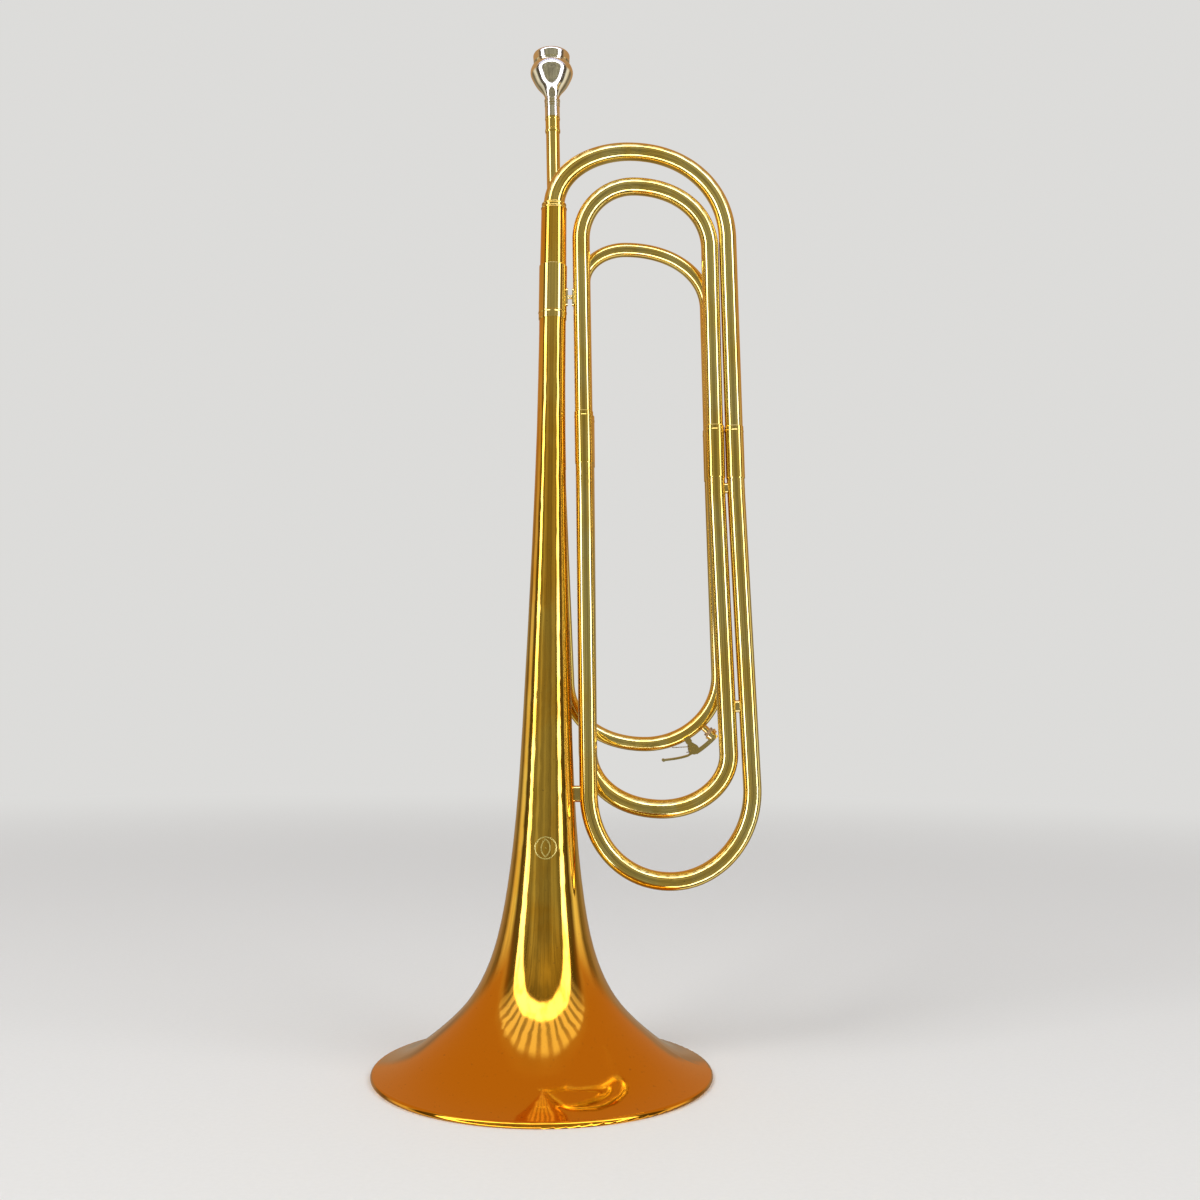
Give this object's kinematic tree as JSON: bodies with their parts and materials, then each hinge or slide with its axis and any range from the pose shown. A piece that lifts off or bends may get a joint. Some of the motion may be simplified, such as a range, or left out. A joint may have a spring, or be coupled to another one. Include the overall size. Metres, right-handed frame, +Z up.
{
  "type": "bass bugle",
  "caption": "Valveless brass bugle in three stacked loops, with a flared bell with a rolled rim, soldered ferrules and braces, a sprung water key and a removable mouthpiece.",
  "frame": {"origin": "centre of the bell's mouth, in the plane that the rolled rim rests on", "axes": "+Z runs up the bell's axis towards its small end, the loops lie towards +X, and the front, with the outer loop, faces -Y"},
  "size_m": [0.2799, 0.244, 0.7765],
  "materials": {
    "bell_brass": "polished under clear lacquer, a little warmer than the tubes",
    "tube_brass": "polished under clear lacquer",
    "ferrule_brass": "polished under clear lacquer",
    "fitting_brass": "polished under clear lacquer, soft edges",
    "mouthpiece_silver": "polished silver plate with light handling wear",
    "cork": "natural cork",
    "spring_steel": "bright spring wire",
    "rim_wire_steel": "plain wire, hidden inside the rolled rim"
  },
  "bodies": {
    "horn": {"bell": "bell_brass", "bell_rim_wire": "rim_wire_steel", "bell_tail": "bell_brass", "top_bow_outer": "tube_brass", "top_bow_middle": "tube_brass", "top_bow_inner": "tube_brass", "bottom_bow_outer": "tube_brass", "bottom_bow_middle": "tube_brass", "bottom_bow_inner": "tube_brass", "ferrule_right_outer": "ferrule_brass", "ferrule_left_outer": "ferrule_brass", "ferrule_right_middle": "ferrule_brass", "ferrule_left_middle": "ferrule_brass", "ferrule_right_inner": "ferrule_brass", "ferrule_leadpipe": "ferrule_brass", "bell_ferrule": "ferrule_brass", "bell_tail_ring": "ferrule_brass", "leadpipe": "tube_brass", "mouthpiece_receiver": "ferrule_brass", "upper_bell_brace": "fitting_brass", "lower_bell_brace": "fitting_brass", "leadpipe_brace_upper": "fitting_brass", "leadpipe_brace_lower": "fitting_brass", "right_spacer_upper": "fitting_brass", "right_spacer_lower": "fitting_brass", "top_bow_brace_left": "fitting_brass", "top_bow_brace_right": "fitting_brass", "left_spacer": "fitting_brass", "inner_bottom_spacer": "fitting_brass", "water_key_nipple": "fitting_brass", "water_key_saddle": "fitting_brass", "water_key_pivot_screw": "fitting_brass", "water_key_spring": "spring_steel"},
    "mouthpiece": {"mouthpiece": "mouthpiece_silver"},
    "water_key": {"water_key_lever": "fitting_brass", "water_key_cork": "cork"}
  },
  "joints": [
    {"name": "mouthpiece_pull", "type": "slide", "parent": "horn", "child": "mouthpiece", "axis": [-0.0288, -0.0243, 0.9993], "range_m": [0, 0.03]},
    {"name": "water_key_hinge", "type": "hinge", "parent": "horn", "child": "water_key", "pos_m": [0.109, 0.0153, 0.23193], "axis": [0, 1, 0], "range_deg": [0, 12]}
  ]
}
